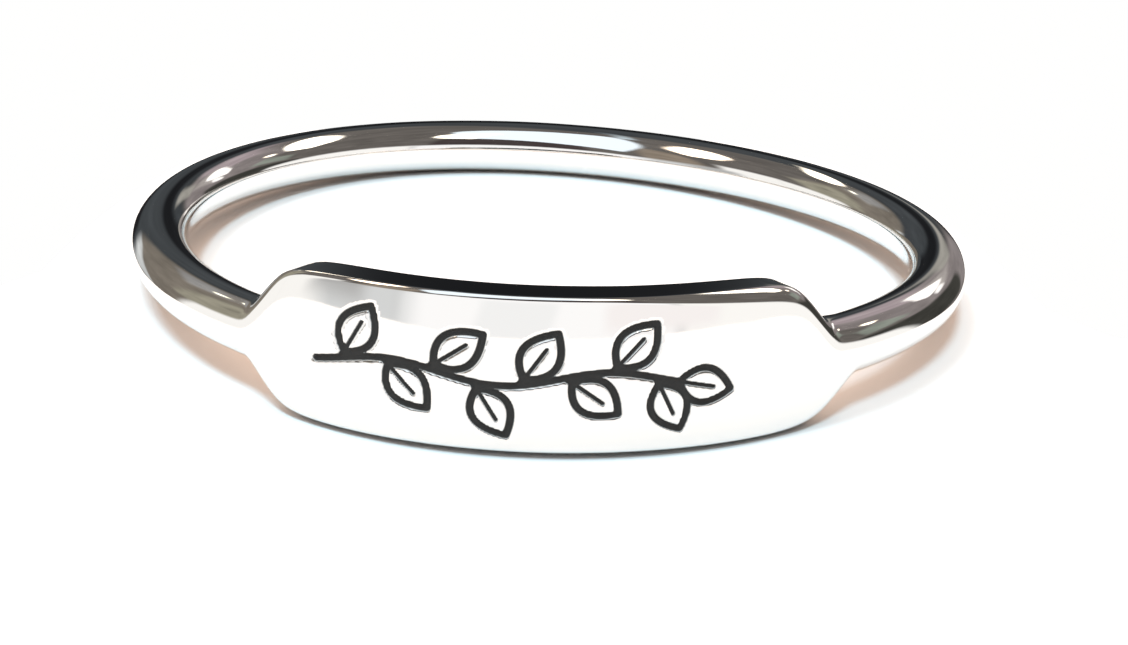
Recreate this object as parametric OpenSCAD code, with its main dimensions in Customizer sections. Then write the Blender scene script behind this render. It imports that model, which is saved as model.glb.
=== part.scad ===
// Stacking ring of polished silver: a round wire band that runs into a curved oblong plate with canted corners.
// Millimetres. The ring lies on its side, as it comes to rest on a table, with the plate towards -Y and +Z up.
// It rests on the plate's lower edge and on the far side of the wire, so its front is raised a few degrees.
// The origin is on the table, under the middle of the ring's outer box.

/* [Band] */
// Diameter of the round silver wire
wire_d = 1.37; // [1:0.01:1.8]
// Radius of the band's centre line
band_r = 9.4; // [8:0.1:11]
// How far the hand-rounded band stands out at its three high places
out_of_round = 0.16; // [0:0.01:0.3]
// Angle from the plate's middle to the nearest high place, positive towards +X
high_place = -21; // [-60:1:60]

/* [Plate] */
// Height of the plate's upper edge over the band's middle plane
plate_up = 1.85; // [1.2:0.01:3]
// Depth of the plate's lower edge under the band's middle plane
plate_down = 1.7; // [1.2:0.01:3]
// Thickness of the plate at the middle of its face
plate_t = 1.12; // [0.8:0.02:1.36]
// Radius of the plate's rounded edges
plate_corner = 0.1; // [0.05:0.01:0.35]
// Radius of the upper front edge by the plate's right end, where it is rounded off more
right_corner = 0.42; // [0.05:0.01:0.5]
// How far back the lower edge of the plate's face curves under
under_depth = 0.5; // [0.2:0.01:0.5]
// How high up the face that curve starts
under_rise = 0.17; // [0.1:0.01:0.35]
// How far the plate's crowned face falls back by its upper and lower edges
plate_crown = 0.17; // [0:0.01:0.25]

/* [Plate corners] */
// Arc from the plate's middle to where its upper left corner meets the wire
reach_up_left = 6.85; // [5.5:0.05:8]
// The same arc for the upper right corner
reach_up_right = 6.5; // [5.5:0.05:8]
// The same arc for the lower left corner
reach_down_left = 6.85; // [5.5:0.05:8]
// The same arc for the lower right corner
reach_down_right = 7.2; // [5.5:0.05:8]
// Rise of a canted corner for each millimetre of arc
corner_slope = 1.24; // [0.6:0.02:2]
// Softness of the shoulder between a corner and the plate's long edge
shoulder_soft = 0.56; // [0.05:0.01:1]
// Softness of the neck where a corner runs into the wire
neck_soft = 0.12; // [0.02:0.01:0.5]

/* [Fineness] */
// Angle between sections along the plate and its corners
plate_step = 1; // [0.5:0.5:2]
// Angle between sections along the plain wire
wire_step = 4; // [2:1:6]
// Points round each section, a multiple of eight
section_points = 32; // [16:8:40]

/* [Hidden] */

wire_r = wire_d / 2;
plate_r = plate_t / 2;

// The plate's corners and necks end inside this angle on either side of its middle
plate_zone = 52;
wire_angle = 360 - 2 * plate_zone;
plate_sections = round(2 * plate_zone / plate_step);
wire_sections = round(wire_angle / wire_step);
// Angles of the sections from the plate's middle, -plate_zone first and then once round towards +X
stations = [
    for (i = [0 : plate_sections - 1]) -plate_zone + 2 * plate_zone * i / plate_sections,
    for (i = [0 : wire_sections - 1]) plate_zone + wire_angle * i / wire_sections
];

// Smaller and larger of two values, with the corner between them rounded off
function soft_min(a, b, soft) = (a + b - sqrt((a - b) ^ 2 + soft ^ 2)) / 2;
function soft_max(a, b, soft) = (a + b + sqrt((a - b) ^ 2 + soft ^ 2)) / 2;

// The same angle between -180 and 180, and its arc from the plate's middle
function turned(a) = a > 180 ? a - 360 : a;
function arc(a) = band_r * abs(turned(a)) * PI / 180;

// Half height of the ring at an angle: the plate's edge, then a canted corner, then the wire
function half_height(a, edge, reach) =
    let (corner = wire_r + (reach - arc(a)) * corner_slope)
    soft_max(soft_min(edge, corner, shoulder_soft), wire_r, neck_soft);
function up(a) = half_height(a, plate_up, turned(a) < 0 ? reach_up_left : reach_up_right);
function down(a) = half_height(a, plate_down, turned(a) < 0 ? reach_down_left : reach_down_right);

// How far a section has changed from the wire, 0, to the plate, 1
function plate_share(a) = min(1, (up(a) + down(a) - wire_d) / (plate_up + plate_down - wire_d));

function centre_r(a) = band_r + out_of_round * cos(3 * (a - high_place));

// A quarter of a section runs from its side, 0, to its edge, 1. On the plate it goes up the face,
// round the corner and then along the edge, and these are where the face and the corner end.
face_end = 3 / 8;
corner_end = 7 / 8;

// How far a value has gone from the first value, 0, to the last, 1
function passed(value, first, last) = min(1, max(0, (value - first) / (last - first)));

// The same with a smooth start and end
function eased(value, first, last) = let (x = passed(value, first, last)) x * x * (3 - 2 * x);

// Point of a quarter of the wire, as far out and as high as asked
function wire_point(along, half_t, height) = [half_t * cos(90 * along), height * sin(90 * along)];

// Point of a quarter of the plate, with a face that falls back by the crown and a corner of this depth and rise
function plate_point(along, half_t, height, crown, depth, rise) =
    let (
        turn = 90 * passed(along, face_end, corner_end),
        x = (half_t - depth) * (1 - passed(along, corner_end, 1)) + depth * cos(turn),
        z = (height - rise) * passed(along, 0, face_end) + rise * sin(turn)
    )
    [x * (1 - crown / half_t * (z / height) ^ 2), z];

// The upper front edge is rounded off more from rounder_from to rounder_to
rounder_from = 4;
rounder_to = 36;
function front_corner(a) = plate_corner + (right_corner - plate_corner) * eased(turned(a), rounder_from, rounder_to);

// Points of the section at an angle, from its outer side over its top
function section(a) =
    let (share = plate_share(a), half_t = wire_r + (plate_r - wire_r) * share)
    [for (i = [0 : section_points - 1])
        let (
            quarter = floor(4 * i / section_points),
            step = 4 * i / section_points - quarter,
            along = quarter % 2 == 0 ? step : 1 - step,
            outer = quarter == 0 || quarter == 3,
            upper = quarter < 2,
            height = upper ? up(a) : down(a),
            wire = wire_point(along, half_t, height),
            under = outer && !upper,
            corner = outer ? front_corner(a) : plate_corner,
            depth = under ? min(under_depth, 0.9 * plate_r) : corner,
            rise = under ? under_rise : corner,
            plate = plate_point(along, half_t, height, outer ? plate_crown : 0, depth, rise),
            spot = wire + (plate - wire) * share,
            r = centre_r(a) + (outer ? spot.x : -spot.x),
            z = upper ? spot.y : -spot.y
        )
        [r * sin(a), -r * cos(a), z]
    ];

skin = [for (a = stations) each section(a)];
faces = [
    for (i = [0 : len(stations) - 1], j = [0 : section_points - 1])
        let (
            here = i * section_points,
            next = (i + 1) % len(stations) * section_points,
            k = (j + 1) % section_points
        )
        each [[here + j, here + k, next + k], [here + j, next + k, next + j]]
];

// A point of the ring once its front is raised by an angle
function raised(p, tilt) = [p.x, p.y * cos(tilt) + p.z * sin(tilt), p.z * cos(tilt) - p.y * sin(tilt)];

// The ring settles where its lowest point in front and its lowest point behind are level
function low_front(tilt) = min([for (p = skin) if (p.y < 0) raised(p, tilt).z]);
function low_behind(tilt) = min([for (p = skin) if (p.y > 0) raised(p, tilt).z]);
function settled(tilt, tries) = tries == 0 ? tilt :
    settled(tilt + atan((low_behind(tilt) - low_front(tilt)) / (2 * band_r)), tries - 1);
rest_tilt = settled(0, 4);

rest = [for (p = skin) raised(p, rest_tilt)];
function middle(values) = (min(values) + max(values)) / 2;
to_origin = [-middle([for (p = rest) p.x]), -middle([for (p = rest) p.y]), -min([for (p = rest) p.z])];

module ring() {
    color("silver")
        translate(to_origin)
            rotate([-rest_tilt, 0, 0])
                polyhedron(points = skin, faces = faces, convexity = 4);
}

ring();
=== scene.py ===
"""Looks of the stacking ring: polished silver, with a blackened sprig engraved on its plate."""
import math

import bpy
import numpy as np
from mathutils import Matrix, Vector


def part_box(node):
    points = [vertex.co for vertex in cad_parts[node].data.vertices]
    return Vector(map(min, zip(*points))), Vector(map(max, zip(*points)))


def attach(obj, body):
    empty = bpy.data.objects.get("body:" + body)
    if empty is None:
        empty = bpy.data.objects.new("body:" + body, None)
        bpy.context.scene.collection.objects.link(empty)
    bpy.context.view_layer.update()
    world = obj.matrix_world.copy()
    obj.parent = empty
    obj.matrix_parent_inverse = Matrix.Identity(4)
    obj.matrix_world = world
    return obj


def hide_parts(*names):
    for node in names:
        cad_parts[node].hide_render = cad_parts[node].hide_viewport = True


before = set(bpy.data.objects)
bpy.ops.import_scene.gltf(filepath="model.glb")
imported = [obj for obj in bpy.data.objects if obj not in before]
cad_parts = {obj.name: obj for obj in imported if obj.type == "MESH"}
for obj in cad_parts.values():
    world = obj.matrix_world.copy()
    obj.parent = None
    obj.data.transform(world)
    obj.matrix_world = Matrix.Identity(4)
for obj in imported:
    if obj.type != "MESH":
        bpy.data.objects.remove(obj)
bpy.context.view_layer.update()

MM = 0.001

# The ring's own sizes, the same as in the part's source: millimetres, and radians for the angle
RING_SIZES = {
    "Wire diameter": 1.37,
    "Band radius": 9.4,
    "Out of round": 0.16,
    "High place": math.radians(-21),
    "Plate up": 1.85,
    "Plate down": 1.7,
    "Plate thickness": 1.12,
    "Plate corner": 0.1,
    "Right corner": 0.42,
    "Under depth": 0.5,
    "Under rise": 0.17,
    "Plate crown": 0.17,
    "Reach up left": 6.85,
    "Reach up right": 6.5,
    "Reach down left": 6.85,
    "Reach down right": 7.2,
    "Corner slope": 1.24,
    "Shoulder softness": 0.56,
    "Neck softness": 0.12,
}

# Hand polishing takes silver off very slightly unevenly, by up to twice this many millimetres
POLISH_SIZES = {
    "Unevenness": 0.005,
    "Unevenness scale": 0.5,
}

# The engraved sprig, in millimetres of arc and height from the plate's middle
SPRIG_SIZES = {
    "Sprig start": -4.9,
    "Sprig end": 2.4,
    "Sprig height": 0.08,
    "Stem wave": 0.17,
    "Stem wave length": 4.35,
    "Leaves": 8,
    "Leaf stalk": 0.16,
    "Leaf length": 1.2,
    "Leaf width": 0.78,
    "Leaf splay": math.radians(50),
    "Groove half width": 0.085,
    "Groove depth": 0.08,
    "Vein thinness": 0.035,
}
# Where a leaf is fullest and where its vein ends, as shares of its length
LEAF_BELLY = 0.42
VEIN_END = 0.66
# Where the first leaf stands, as a share of the way from one leaf to the next
FIRST_LEAF = 0.62

# A quarter of a section runs from its side, 0, to its edge, 1. On the plate it goes up the face,
# round the corner and then along the edge, and these are where the face and the corner end.
FACE_END = 3 / 8
CORNER_END = 7 / 8

# Sections round the ring, crowded towards the plate's middle, and points round each section
SECTIONS = 500
SECTION_CROWDING = 0.30
SECTION_POINTS = 200
# Share of a section's points on its outer side, and of a quarter's points before its corner and its edge
OUTER_SHARE = 0.6
FACE_SHARE = 0.68
CORNER_SHARE = 0.88
STEM_POINTS = 160

# The two sides of the plate run into each other over this angle from its middle
MIDDLE_ZONE = math.radians(20)
# The plate's upper front edge is rounded off more from here to here on its right
ROUNDER_FROM = math.radians(4)
ROUNDER_TO = math.radians(36)
# What is added to a point's distance from the sprig on the inner side, which has no groove, in millimetres
FAR_FROM_GROOVE = 9.0
# The seam where the sweep meets itself is merged over this gap, in millimetres
SEAM_GAP = 0.0005
SETTLE_TRIES = 6

# The camera: the point it looks at, its distance and its focal length in millimetres, its angles in degrees
CAMERA_AIM = (0.41, -0.63, -0.531)
CAMERA_DISTANCE = 66.1
CAMERA_TURN = -2.55
CAMERA_ELEVATION = 21.64
CAMERA_ROLL = 3.12
CAMERA_LENS = 86.7


class Amount:
    """A number in a node tree. A sum with it adds a Math node."""

    def __init__(self, tree, socket):
        self.tree = tree
        self.socket = socket

    def math(self, operation, *others):
        return worked_out(self.tree, operation, self, *others)

    def __add__(self, other):
        return self.math("ADD", other)

    def __sub__(self, other):
        return self.math("SUBTRACT", other)

    def __rsub__(self, other):
        return worked_out(self.tree, "SUBTRACT", other, self)

    def __mul__(self, other):
        return self.math("MULTIPLY", other)

    def __truediv__(self, other):
        return self.math("DIVIDE", other)

    def __pow__(self, other):
        return self.math("POWER", other)

    def mix(self, other, share):
        """This amount where share is 0, and the other where it is 1."""
        return self + (other - self) * share

    def passed(self, first, last, kind="LINEAR"):
        """How far this amount has gone from the first value, 0, to the last, 1."""
        node = place(self.tree, "ShaderNodeMapRange", {"interpolation_type": kind}, Value=self)
        feed(self.tree, first, node.inputs["From Min"])
        feed(self.tree, last, node.inputs["From Max"])
        return Amount(self.tree, node.outputs[0])

    def eased(self, first, last):
        """The same with a smooth start and end."""
        return self.passed(first, last, "SMOOTHSTEP")


def worked_out(tree, operation, *values):
    """The amount that a Math node gives for these values."""
    node = tree.nodes.new("ShaderNodeMath")
    node.operation = operation
    for slot, value in zip(node.inputs, values):
        feed(tree, value, slot)
    return Amount(tree, node.outputs[0])


def feed(tree, value, slot):
    """Links an amount or a socket to an input, or sets the input to a plain value."""
    if isinstance(value, Amount):
        value = value.socket
    if isinstance(value, bpy.types.NodeSocket):
        tree.links.new(value, slot)
    else:
        slot.default_value = value


def place(tree, kind, settings=None, **inputs):
    """Adds a node, with its settings and its inputs by name, where _ stands for a space."""
    node = tree.nodes.new(kind)
    for name, value in (settings or {}).items():
        setattr(node, name, value)
    for name, value in inputs.items():
        feed(tree, value, node.inputs[name.replace("_", " ")])
    return node


def joined(tree, *parts):
    node = tree.nodes.new("GeometryNodeJoinGeometry")
    for part in parts:
        tree.links.new(part, node.inputs[0])
    return node.outputs[0]


def point(tree, x=0.0, y=0.0, z=0.0):
    return place(tree, "ShaderNodeCombineXYZ", X=x, Y=y, Z=z).outputs[0]


def parted(tree, vector):
    """The three amounts of a vector."""
    return [Amount(tree, part) for part in place(tree, "ShaderNodeSeparateXYZ", Vector=vector).outputs]


def noise(tree, spot, scale, detail):
    """A smooth noise between 0 and 1 at a place."""
    node = place(tree, "ShaderNodeTexNoise", Vector=spot, Scale=scale, Detail=detail)
    return Amount(tree, node.outputs[0])


def own_place(tree):
    return parted(tree, tree.nodes.new("GeometryNodeInputPosition").outputs[0])


def soft_min(a, b, soft):
    return (a + b - ((a - b) ** 2 + soft ** 2).math("SQRT")) * 0.5


def soft_max(a, b, soft):
    return (a + b + ((a - b) ** 2 + soft ** 2).math("SQRT")) * 0.5


def form_tree(name, sizes):
    """A node tree with one named input for each size. It gives the tree and its inputs as amounts."""
    tree = bpy.data.node_groups.new(name, "GeometryNodeTree")
    tree.is_modifier = True
    for label, value in sizes.items():
        kind = "NodeSocketInt" if isinstance(value, int) else "NodeSocketFloat"
        tree.interface.new_socket(label, in_out="INPUT", socket_type=kind)
    tree.interface.new_socket("Silver", in_out="INPUT", socket_type="NodeSocketMaterial")
    tree.interface.new_socket("Ring", in_out="OUTPUT", socket_type="NodeSocketGeometry")
    entry = tree.nodes.new("NodeGroupInput")
    return tree, {socket.name: Amount(tree, socket) for socket in entry.outputs if socket.name}


def plain_mesh(name, tree, values):
    """The mesh that a tree makes with these values, as an object of its own with no modifier."""
    carrier = bpy.data.objects.new(name + "_carrier", bpy.data.meshes.new(name + "_carrier"))
    bpy.context.scene.collection.objects.link(carrier)
    modifier = carrier.modifiers.new(name, "NODES")
    modifier.node_group = tree
    for item in tree.interface.items_tree:
        if item.in_out == "INPUT":
            modifier[item.identifier] = values[item.name]
    evaluated = carrier.evaluated_get(bpy.context.evaluated_depsgraph_get())
    mesh = bpy.data.meshes.new_from_object(evaluated)
    mesh.name = name
    bpy.data.objects.remove(carrier)
    piece = bpy.data.objects.new(name, mesh)
    bpy.context.scene.collection.objects.link(piece)
    return piece


def stem_height(size, along):
    wave = (along * math.tau / size["Stem wave length"]).math("SINE")
    return wave * size["Stem wave"] + size["Sprig height"]


def stem_slope(size, along):
    turn = size["Stem wave length"] ** -1 * math.tau
    return ((along * turn).math("COSINE") * size["Stem wave"] * turn).math("ARCTANGENT")


def on_stem(tree, size, line):
    """Points of a straight line brought to the stem's height."""
    along = own_place(tree)[0]
    spot = point(tree, along, stem_height(size, along))
    return place(tree, "GeometryNodeSetPosition", Geometry=line, Position=spot).outputs[0]


def leaf(tree, size):
    """A pointed leaf on a short stalk, from its foot on the stem towards +X, and its vein."""
    foot = size["Leaf stalk"]
    tip = foot + size["Leaf length"]
    belly = foot + size["Leaf length"] * LEAF_BELLY
    edges = [
        place(tree, "GeometryNodeCurveQuadraticBezier", Start=point(tree, foot), End=point(tree, tip),
              Middle=point(tree, belly, size["Leaf width"] * side)).outputs[0]
        for side in (1, -1)
    ]
    vein_end = foot + size["Leaf length"] * VEIN_END
    stalk, vein = [
        place(tree, "GeometryNodeCurvePrimitiveLine", Start=start, End=end).outputs[0]
        for start, end in ((point(tree), point(tree, foot)), (point(tree, foot), point(tree, vein_end)))
    ]
    return [place(tree, "GeometryNodeCurveToMesh", Curve=part).outputs[0]
            for part in (joined(tree, *edges, stalk), vein)]


def sprig_strokes(tree, size):
    """The sprig's outlines and its thin veins, flat in arc and height, each as plain edges."""
    start, end = size["Sprig start"], size["Sprig end"]
    length = end - start
    stem_line = place(tree, "GeometryNodeMeshLine", Count=STEM_POINTS, Start_Location=point(tree, start),
                      Offset=point(tree, length / (STEM_POINTS - 1))).outputs[0]
    pitch = length / size["Leaves"]
    feet_line = place(tree, "GeometryNodeMeshLine", Count=size["Leaves"], Offset=point(tree, pitch),
                      Start_Location=point(tree, start + pitch * FIRST_LEAF)).outputs[0]
    feet = on_stem(tree, size, feet_line)
    index = Amount(tree, tree.nodes.new("GeometryNodeInputIndex").outputs[0])
    side = index.math("MODULO", 2) * -2 + 1
    turn = stem_slope(size, own_place(tree)[0]) + side * size["Leaf splay"]
    end_place = point(tree, end, stem_height(size, end))
    end_turn = point(tree, 0, 0, stem_slope(size, end))
    strokes = []
    for part, stem in zip(leaf(tree, size), (on_stem(tree, size, stem_line), None)):
        leaves = place(tree, "GeometryNodeInstanceOnPoints", Points=feet, Instance=part,
                       Rotation=point(tree, 0, 0, turn)).outputs[0]
        last = place(tree, "GeometryNodeTransform", Geometry=part, Translation=end_place,
                     Rotation=end_turn).outputs[0]
        whole = joined(tree, *[each for each in (leaves, last, stem) if each])
        strokes.append(place(tree, "GeometryNodeRealizeInstances", Geometry=whole).outputs[0])
    return strokes


def groove_distance(tree, size, arc, height, outer):
    """How far a point of the plate's face is from the nearest stroke of the sprig."""
    spot = point(tree, arc, height)
    outline, vein = [
        Amount(tree, place(tree, "GeometryNodeProximity", {"target_element": "EDGES"},
                           Geometry=strokes, Sample_Position=spot).outputs["Distance"])
        for strokes in sprig_strokes(tree, size)
    ]
    nearest = outline.math("MINIMUM", vein + size["Vein thinness"])
    return nearest + (1 - outer) * FAR_FROM_GROOVE


def half_height(size, edge, reach, arc, wire_r):
    """Half height of the ring at an arc: the plate's edge, then a canted corner, then the wire."""
    corner = (reach - arc) * size["Corner slope"] + wire_r
    shoulder = soft_min(edge, corner, size["Shoulder softness"])
    return soft_max(shoulder, wire_r, size["Neck softness"])


def section_point(size, across, half_t, height, above, rounder, share):
    """How far out and how high a section's point is. Across is 0 at the outer side and 1 at the inner."""
    outer = across.math("LESS_THAN", OUTER_SHARE)
    quarter = (across / OUTER_SHARE).math("MINIMUM", (1 - across) / (1 - OUTER_SHARE))
    face = quarter.passed(0, FACE_SHARE)
    corner = quarter.passed(FACE_SHARE, CORNER_SHARE)
    edge = quarter.passed(CORNER_SHARE, 1)
    along = face * FACE_END + corner * (CORNER_END - FACE_END) + edge * (1 - CORNER_END)
    lean = along * (math.pi / 2)
    wire = lean.math("COSINE") * half_t, lean.math("SINE") * height
    turn = corner * (math.pi / 2)
    under = outer * (1 - above)
    rounding = size["Plate corner"].mix(size["Right corner"], outer * above * rounder)
    depth = rounding.mix(size["Under depth"], under)
    rise = rounding.mix(size["Under rise"], under)
    plate_height = (height - rise) * face + turn.math("SINE") * rise
    fall = (plate_height / height) ** 2 * size["Plate crown"] / half_t * outer
    plate = ((half_t - depth) * (1 - edge) + turn.math("COSINE") * depth) * (1 - fall), plate_height
    out, up = (first.mix(last, share) for first, last in zip(wire, plate))
    return out * (outer * 2 - 1), up, outer


def ring_tree():
    """The ring swept round its band, with the plate's changing section and the sprig's grooves."""
    tree, size = form_tree("ring_form", {**RING_SIZES, **POLISH_SIZES, **SPRIG_SIZES})
    grid = place(tree, "GeometryNodeMeshGrid", Size_X=2, Size_Y=2, Vertices_X=SECTIONS,
                 Vertices_Y=SECTION_POINTS).outputs[0]
    along, around, _ = own_place(tree)
    turn = (along * SECTION_CROWDING + along ** 5 * (1 - SECTION_CROWDING)) * math.pi

    wire_r = size["Wire diameter"] * 0.5
    arc = turn.math("ABSOLUTE") * size["Band radius"]
    right = turn.eased(-MIDDLE_ZONE, MIDDLE_ZONE)
    reach_up = size["Reach up left"].mix(size["Reach up right"], right)
    reach_down = size["Reach down left"].mix(size["Reach down right"], right)
    up = half_height(size, size["Plate up"], reach_up, arc, wire_r)
    down = half_height(size, size["Plate down"], reach_down, arc, wire_r)
    over_wire = up + down - size["Wire diameter"]
    plate_over_wire = size["Plate up"] + size["Plate down"] - size["Wire diameter"]
    share = (over_wire / plate_over_wire).math("MINIMUM", 1)
    half_t = wire_r.mix(size["Plate thickness"] * 0.5, share)

    above = around.math("GREATER_THAN", 0)
    rounder = turn.eased(ROUNDER_FROM, ROUNDER_TO)
    tallness = down.mix(up, above)
    out, rise, outer = section_point(size, around.math("ABSOLUTE"), half_t, tallness, above, rounder, share)
    height = rise * (above * 2 - 1)
    bulge = ((turn - size["High place"]) * 3).math("COSINE") * size["Out of round"]
    radius = size["Band radius"] + bulge + out
    spot = point(tree, radius * turn.math("SINE"), radius * turn.math("COSINE") * -1, height)

    distance = groove_distance(tree, size, turn * size["Band radius"], height, outer)
    marked = place(tree, "GeometryNodeStoreNamedAttribute", Geometry=grid, Name="groove",
                   Value=distance).outputs[0]
    swept = place(tree, "GeometryNodeSetPosition", Geometry=marked, Position=spot).outputs[0]
    closed = place(tree, "GeometryNodeMergeByDistance", Geometry=swept, Distance=SEAM_GAP).outputs[0]

    own_distance = Amount(tree, place(tree, "GeometryNodeInputNamedAttribute", Name="groove").outputs[0])
    across = (own_distance / size["Groove half width"]).math("MINIMUM", 1)
    groove = (1 - across ** 2).math("SQRT") * size["Groove depth"]
    own_spot = tree.nodes.new("GeometryNodeInputPosition").outputs[0]
    waves = noise(tree, own_spot, size["Unevenness scale"], 1.0)
    lift = (waves - 1) * 2 * size["Unevenness"] - groove
    normal = tree.nodes.new("GeometryNodeInputNormal").outputs[0]
    push = place(tree, "ShaderNodeVectorMath", {"operation": "SCALE"}, Vector=normal, Scale=lift).outputs[0]
    worked = place(tree, "GeometryNodeSetPosition", Geometry=closed, Offset=push).outputs[0]
    smooth = place(tree, "GeometryNodeSetShadeSmooth", Geometry=worked).outputs[0]
    real = place(tree, "GeometryNodeRealizeInstances", Geometry=smooth).outputs[0]
    coated = place(tree, "GeometryNodeSetMaterial", Geometry=real, Material=size["Silver"]).outputs[0]
    leaving = tree.nodes.new("NodeGroupOutput")
    tree.links.new(coated, leaving.inputs[0])
    return tree


def raised(points, tilt):
    """The points with the ring's front raised by an angle."""
    return points @ np.array(Matrix.Rotation(-tilt, 3, "X")).T


def settle(piece):
    """Lays the ring down as it comes to rest, and puts it where its CAD node is."""
    mesh = piece.data
    points = np.empty(len(mesh.vertices) * 3, dtype=np.float32)
    mesh.vertices.foreach_get("co", points)
    points = points.reshape(-1, 3).astype(float)
    tilt = 0.0
    for _ in range(SETTLE_TRIES):
        laid = raised(points, tilt)
        front = laid[laid[:, 1] < 0, 2].min()
        behind = laid[laid[:, 1] > 0, 2].min()
        tilt += math.atan((behind - front) / (2 * RING_SIZES["Band radius"]))
    laid = raised(points, tilt) * MM
    cad_low, cad_high = (np.array(corner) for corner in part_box("ring"))
    shift = (cad_low + cad_high - laid.min(axis=0) - laid.max(axis=0)) / 2
    shift[2] = cad_low[2] - laid[:, 2].min()
    mesh.vertices.foreach_set("co", (laid + shift).astype(np.float32).ravel())
    mesh.update()


def new_material(name):
    material = bpy.data.materials.new(name)
    material.use_nodes = True
    return material, material.node_tree, material.node_tree.nodes["Principled BSDF"]


def mixed(tree, first, second, share):
    """One colour where share is 0, and the other where it is 1."""
    node = tree.nodes.new("ShaderNodeMix")
    node.data_type = "RGBA"
    feed(tree, share, node.inputs["Factor"])
    for slot, colour in zip((node.inputs[6], node.inputs[7]), (first, second)):
        feed(tree, (*colour, 1) if isinstance(colour, tuple) else colour, slot)
    return node.outputs[2]


SILVER = (0.84, 0.825, 0.805)
BLACKENED = (0.015, 0.0145, 0.014)
BLACKENED_ROUGHNESS = 0.75
# The blackening fades out from inside a groove's edge to outside it, in millimetres
BLACKENED_INSIDE = 0.018
BLACKENED_OUTSIDE = 0.012
# The polish: its least roughness, and what its slow changes and its fine grain add
POLISH = 0.02
WEAR = 0.03
WEAR_SCALE = 420.0
GRAIN = 0.02
GRAIN_SCALE = 2600.0
GRAIN_BUMP = 0.25
GRAIN_DEPTH = 0.000002


def polished_silver():
    """Bright silver with a faint grain of polishing, blackened in the engraved grooves."""
    material, tree, shader = new_material("polished_silver")
    distance = Amount(tree, place(tree, "ShaderNodeAttribute", {"attribute_name": "groove"}).outputs["Fac"])
    edge = SPRIG_SIZES["Groove half width"]
    blackened = distance.eased(edge + BLACKENED_OUTSIDE, edge - BLACKENED_INSIDE)
    coordinates = tree.nodes.new("ShaderNodeTexCoord").outputs["Object"]
    grain = noise(tree, coordinates, GRAIN_SCALE, 3.0)
    wear = noise(tree, coordinates, WEAR_SCALE, 2.0)
    feed(tree, mixed(tree, SILVER, BLACKENED, blackened), shader.inputs["Base Color"])
    feed(tree, 1 - blackened, shader.inputs["Metallic"])
    polish = wear * WEAR + grain * GRAIN + POLISH
    feed(tree, polish.mix(BLACKENED_ROUGHNESS, blackened), shader.inputs["Roughness"])
    bump = place(tree, "ShaderNodeBump", Strength=GRAIN_BUMP, Distance=GRAIN_DEPTH, Height=grain)
    feed(tree, bump.outputs[0], shader.inputs["Normal"])
    return material


def make_camera():
    """The camera, at the photograph's angle."""
    camera = bpy.data.objects.new("camera", bpy.data.cameras.new("camera"))
    bpy.context.scene.collection.objects.link(camera)
    camera.data.lens = CAMERA_LENS
    camera.data.clip_start = 0.005
    camera.data.clip_end = 5.0
    turn = Matrix.Rotation(math.radians(CAMERA_TURN), 4, "Z")
    rise = Matrix.Rotation(math.radians(90 - CAMERA_ELEVATION), 4, "X")
    roll = Matrix.Rotation(math.radians(CAMERA_ROLL), 4, "Z")
    aim = Matrix.Translation(Vector(CAMERA_AIM) * MM)
    back = Matrix.Translation((0, 0, CAMERA_DISTANCE * MM))
    camera.matrix_world = aim @ turn @ rise @ roll @ back
    bpy.context.scene.camera = camera


# The card under the ring, in millimetres: its middle and half length along Y, its widths, where it widens,
# how far it lies under the ring, and the steps and the fullness of its rounded outline
CARD_MIDDLE = -16
CARD_HALF_LENGTH = 29
CARD_BACK_WIDTH = 27
CARD_FRONT_WIDTH = 76
CARD_NECK_BACK = 0
CARD_NECK_FRONT = -12
CARD_GAP = 0.01
CARD_STEPS = 48
CARD_FULLNESS = 0.5
# Its tones, and how fine its faint clouds are
CARD_DARKER = (0.615, 0.615, 0.615)
CARD_LIGHTER = (0.635, 0.635, 0.635)
CARD_CLOUD_SCALE = 40.0


def pale_card():
    """A matt, very faintly clouded card."""
    material, tree, shader = new_material("pale_card")
    coordinates = tree.nodes.new("ShaderNodeTexCoord").outputs["Object"]
    cloud = noise(tree, coordinates, CARD_CLOUD_SCALE, 2.0)
    feed(tree, mixed(tree, CARD_DARKER, CARD_LIGHTER, cloud), shader.inputs["Base Color"])
    shader.inputs["Roughness"].default_value = 0.9
    shader.inputs["Specular IOR Level"].default_value = 0.1
    return material


def card_rim():
    """Corners of the card, from its back edge round over its right and then its left side."""
    sides = []
    for i in range(CARD_STEPS + 1):
        turn = math.pi * i / CARD_STEPS
        y = CARD_MIDDLE + CARD_HALF_LENGTH * math.cos(turn)
        front = min(1, max(0, (CARD_NECK_BACK - y) / (CARD_NECK_BACK - CARD_NECK_FRONT)))
        width = CARD_BACK_WIDTH + (CARD_FRONT_WIDTH - CARD_BACK_WIDTH) * front * front * (3 - 2 * front)
        sides.append((width / 2 * math.sin(turn) ** CARD_FULLNESS if 0 < i < CARD_STEPS else 0, y))
    rim = sides + [(-x, y) for x, y in sides[-2:0:-1]]
    return [(x * MM, y * MM, -CARD_GAP * MM) for x, y in rim]


def make_floor():
    """A card under the ring, wide in front and narrow behind. Beyond it the ring mirrors the room."""
    rim = card_rim()
    mesh = bpy.data.meshes.new("floor")
    mesh.from_pydata(rim, [], [list(range(len(rim)))[::-1]])
    mesh.materials.append(pale_card())
    floor = bpy.data.objects.new("floor", mesh)
    bpy.context.scene.collection.objects.link(floor)


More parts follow.
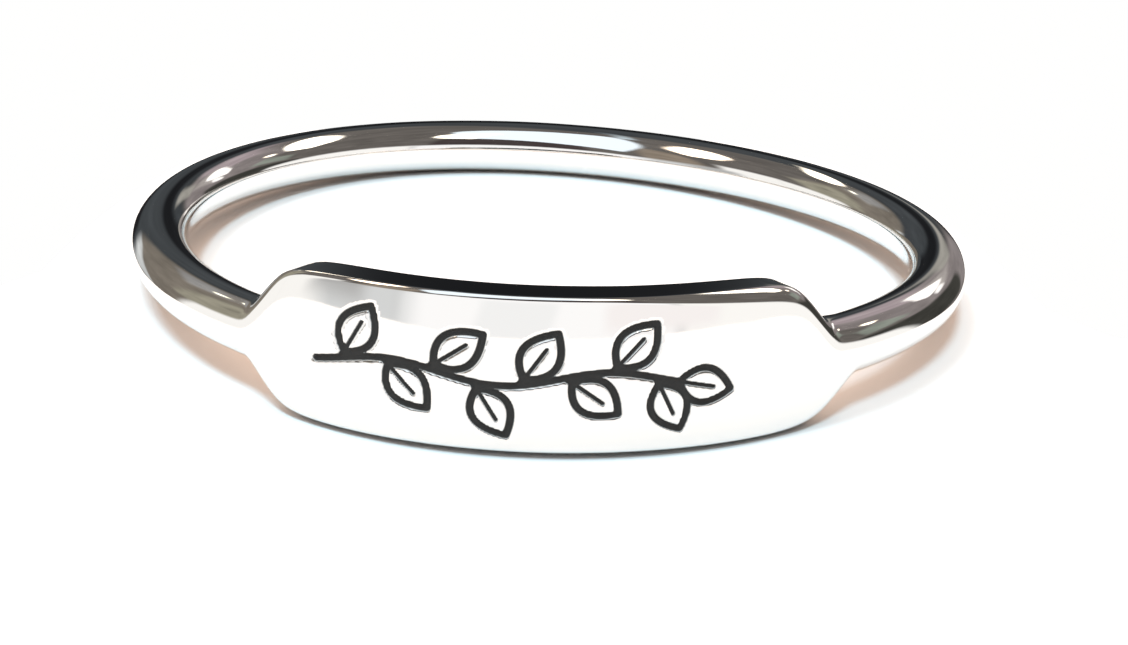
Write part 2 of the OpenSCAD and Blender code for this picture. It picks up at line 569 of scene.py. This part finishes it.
# Walls and screens of the room and lamps in it, as the ring mirrors them. Each has the directions of its
# corners, azimuth and elevation in degrees, the softness of its edge and its colour.
# Azimuth is 0 behind the ring, 90 on its right and 180 behind the camera.
WALLS = {
    "left wall": ([(-84, -14), (-24, -14), (-24, 36), (-84, 36)], 0.06, (0.22, 0.195, 0.165)),
    "left wall end": ([(-86, 0), (-60, 3), (-58, 36), (-86, 36)], 0.06, (0.36, 0.34, 0.27)),
    "bright place on the left wall": ([(-48, 25), (-32, 24), (-28, 36), (-48, 37)], 0.05,
                                      (0.33, 0.325, 0.32)),
    "right wall": ([(18, -14), (64, -14), (66, 42), (18, 40)], 0.05, (0.268, 0.238, 0.236)),
    "mauve place on the right": ([(14, 22), (38, 22), (39, 38), (14, 38)], 0.04, (0.44, 0.37, 0.39)),
    "right shelf": ([(34, -14), (90, -14), (90, 16), (62, 14), (34, 5)], 0.04, (0.055, 0.054, 0.048)),
    "green place on the right": ([(60, 19), (82, 19), (80, 30), (62, 31)], 0.04, (0.3, 0.33, 0.29)),
    "pale place on the left": ([(-46, -16), (-26, -16), (-20, 4), (-34, 2)], 0.03, (0.68, 0.7, 0.7)),
    "pale place on the right": ([(24, 13), (42, 13), (40, 26), (26, 27)], 0.04, (0.5, 0.46, 0.44)),
    "wall behind the ring": ([(-30, -14), (18, -14), (16, 40), (2, 68), (-12, 68), (-27, 34)], 0.06,
                             (0.06, 0.067, 0.073)),
    "dark place behind the ring": ([(-5, -14), (9, -14), (7, 28), (-3, 28)], 0.05, (0.015, 0.016, 0.018)),
    "dark foot of the wall": ([(-24, -16), (18, -16), (18, -5), (-24, -5)], 0.04, (0.018, 0.018, 0.02)),
    "grey place beside the dark wall": ([(10, 9), (22, 9), (23, 17), (11, 17)], 0.03, (0.4, 0.385, 0.35)),
    "dark place by the camera": ([(145, 16), (180, 14), (-160, 20), (-161, 45), (180, 49), (145, 43)], 0.04,
                                 (0.07, 0.056, 0.056)),
    "tan place by the window": ([(-144, 8), (-126, 8), (-126, 40), (-134, 55), (-144, 34)], 0.04,
                                (0.3, 0.25, 0.2)),
}
SCREENS = {
    "left screen": ([(-122, -24), (-119, 27), (-98, 21), (-96, -24)], 0.05, (1.12, 1.11, 1.09)),
    "outer left screen": ([(-100, -24), (-100, 21), (-70, 6), (-58, -24)], 0.05, (1.12, 1.11, 1.09)),
    "right screen": ([(58, -24), (75, 6), (90, 13), (110, 18), (140, 20), (140, -24)], 0.05,
                     (1.15, 1.14, 1.12)),
    "screen by the camera": ([(140, -24), (140, 19), (-142, 12), (-138, -24)], 0.05, (1.16, 1.16, 1.17)),
    "pink screen": ([(130, -3), (128, 6), (150, 8), (160, 4), (160, -3)], 0.04, (1.1, 1.06, 1.06)),
    "grey screen": ([(176, -8), (172, 6), (-166, 6), (-163, -8)], 0.03, (1.06, 1.07, 1.08)),
    "dim screen": ([(-144, -10), (-145, 12), (-117, 12), (-115, -10)], 0.1, (0.78, 0.8, 0.81)),
    "dark screen": ([(-130, -1), (-132, 12), (-116, 12), (-113, -1)], 0.07, (0.52, 0.52, 0.52)),
}
LAMPS = {
    "window": ([(150, 49), (-149, 28), (-128, 59), (-90, 75), (-50, 77), (60, 84), (110, 74.5), (133, 67)],
               0.02, (1.12, 1.24, 1.34)),
    "warm end of the window": ([(134, 56), (141, 50), (158, 47), (160, 74), (142, 71), (132, 63)], 0.02,
                               (3.6, 3.3, 2.8)),
    "window corner": ([(-60, 75), (-60, 77.5), (-10, 62)], 0.02, (0.75, 0.9, 1.0)),
    "left lamp": ([(-120, 46), (-117, 60), (-103, 67), (-62, 69), (-62, 66), (-88, 55.5), (-108, 47.5)],
                  0.025, (4.0, 3.3, 2.6)),
    "far left lamp": ([(-49, 46.5), (-47, 42), (-35, 40), (-12, 42), (-28, 48.5), (-42, 49)], 0.02,
                      (4.0, 3.6, 3.0)),
    "far right lamp": ([(20, 45), (36, 45), (64, 39), (78, 42), (74, 52), (60, 57), (40, 56)], 0.02,
                       (4.0, 3.7, 3.2)),
    "left glint": ([(-46, 34), (-41, 34.5), (-41, 37.5), (-45, 37)], 0.012, (2.6, 2.5, 2.0)),
    "low right lamp": ([(55, 33), (62, 33), (62, 36.5), (56, 37)], 0.012, (3.0, 2.7, 2.2)),
    "right glint": ([(27, 26), (31, 28.5), (44, 25), (46, 19), (37, 16.5), (30, 17)], 0.015,
                    (1.5, 1.45, 1.4)),
    "small right glint": ([(36, 17), (44, 17), (46, 13), (38, 13)], 0.015, (1.3, 1.27, 1.24)),
}
# The room's colour where none of them stands
ROOM_COLOUR = (0.155, 0.142, 0.132)
# The walls are blotchy, by this share of their colour
BLOTCH = 0.5
BLOTCH_SCALE = 6.0
# How much the corners of walls, screens and lamps are rounded off
PANEL_ROUNDING = 0.06
# What is seen past the card
BACKDROP_COLOUR = (1.0, 1.0, 0.995)

# Soft light for the card and the blackened grooves: warm, mostly from above, and fading out to the sides
# between these cosines of the angle from its brightest direction
SOFT_COLOUR = (2.66, 1.92, 1.5)
SOFT_FROM = (-60, 78)
SOFT_START = 0.2
SOFT_END = 0.9
# Cooler lights that cast the ring's shadows. Each has its azimuth, elevation, width, strength and colour.
KEY_LIGHTS = {
    "left_light": (-136, 61, 12, 1.6, (0.49, 0.8, 0.96)),
    "front_light": (-172, 54, 10, 2.95, (0.49, 0.8, 0.96)),
}


def direction(azimuth, elevation):
    around, over = math.radians(azimuth), math.radians(elevation)
    return Vector((math.sin(around) * math.cos(over), math.cos(around) * math.cos(over), math.sin(over)))


def dot(tree, ray, axis):
    node = tree.nodes.new("ShaderNodeVectorMath")
    node.operation = "DOT_PRODUCT"
    feed(tree, ray, node.inputs[0])
    feed(tree, axis, node.inputs[1])
    return Amount(tree, node.outputs["Value"])


def panel_share(tree, ray, corners, softness):
    """1 where a ray meets the panel with these corners, and 0 beside it."""
    spots = [direction(*corner) for corner in corners]
    middle = sum(spots, Vector())
    depth = None
    for here, after in zip(spots, spots[1:] + spots[:1]):
        inward = here.cross(after).normalized()
        if inward.dot(middle) < 0:
            inward.negate()
        own = dot(tree, ray, inward)
        depth = own if depth is None else depth.math("SMOOTH_MIN", own, PANEL_ROUNDING)
    return depth.eased(-softness, softness)


def blended(tree, first, second, share):
    """A shader node that gives one shader where share is 0, and the other where it is 1."""
    node = tree.nodes.new("ShaderNodeMixShader")
    for slot, value in zip(node.inputs, (share, first.outputs[0], second.outputs[0])):
        feed(tree, value, slot)
    return node


def make_room():
    """A room round the ring for it to mirror, and a soft warm light from above for everything else."""
    world = bpy.data.worlds.new("room")
    world.use_nodes = True
    bpy.context.scene.world = world
    world.cycles.sampling_method = "NONE"
    tree = world.node_tree
    tree.nodes.clear()
    ray = tree.nodes.new("ShaderNodeTexCoord").outputs["Generated"]
    colour = ROOM_COLOUR
    for corners, softness, tone in WALLS.values():
        colour = mixed(tree, colour, tone, panel_share(tree, ray, corners, softness))
    blotch = (noise(tree, ray, BLOTCH_SCALE, 5.0) - 0.5) * 2 * BLOTCH + 1
    mottled = place(tree, "ShaderNodeVectorMath", {"operation": "SCALE"}, Vector=colour, Scale=blotch)
    colour = mottled.outputs[0]
    for corners, softness, tone in (*SCREENS.values(), *LAMPS.values()):
        colour = mixed(tree, colour, tone, panel_share(tree, ray, corners, softness))
    mirrored = place(tree, "ShaderNodeBackground", Color=colour)
    strength = dot(tree, ray, direction(*SOFT_FROM)).eased(SOFT_START, SOFT_END)
    soft = place(tree, "ShaderNodeBackground", Color=(*SOFT_COLOUR, 1), Strength=strength)
    backdrop = place(tree, "ShaderNodeBackground", Color=(*BACKDROP_COLOUR, 1))
    path = tree.nodes.new("ShaderNodeLightPath").outputs
    not_scattered = Amount(tree, path["Diffuse Depth"]).math("LESS_THAN", 0.5)
    lit = blended(tree, soft, mirrored, Amount(tree, path["Is Glossy Ray"]) * not_scattered)
    seen = blended(tree, lit, backdrop, path["Is Camera Ray"])
    feed(tree, seen.outputs[0], tree.nodes.new("ShaderNodeOutputWorld").inputs[0])


def make_key_lights():
    """Lights that fall on the card, and that the silver doesn't mirror."""
    for name, (azimuth, elevation, width, strength, colour) in KEY_LIGHTS.items():
        light = bpy.data.lights.new(name, "SUN")
        light.color = colour
        light.energy = strength
        light.angle = math.radians(width)
        lamp = bpy.data.objects.new(name, light)
        lamp.rotation_euler = direction(azimuth, elevation).to_track_quat("Z", "Y").to_euler()
        lamp.visible_glossy = False
        bpy.context.scene.collection.objects.link(lamp)


make_camera()
make_room()
make_key_lights()
make_floor()
bpy.context.scene.view_settings.view_transform = "Standard"

sizes = {**RING_SIZES, **POLISH_SIZES, **SPRIG_SIZES}
ring = plain_mesh("silver_ring", ring_tree(), {**sizes, "Silver": polished_silver()})
settle(ring)
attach(ring, "root")
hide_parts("ring")
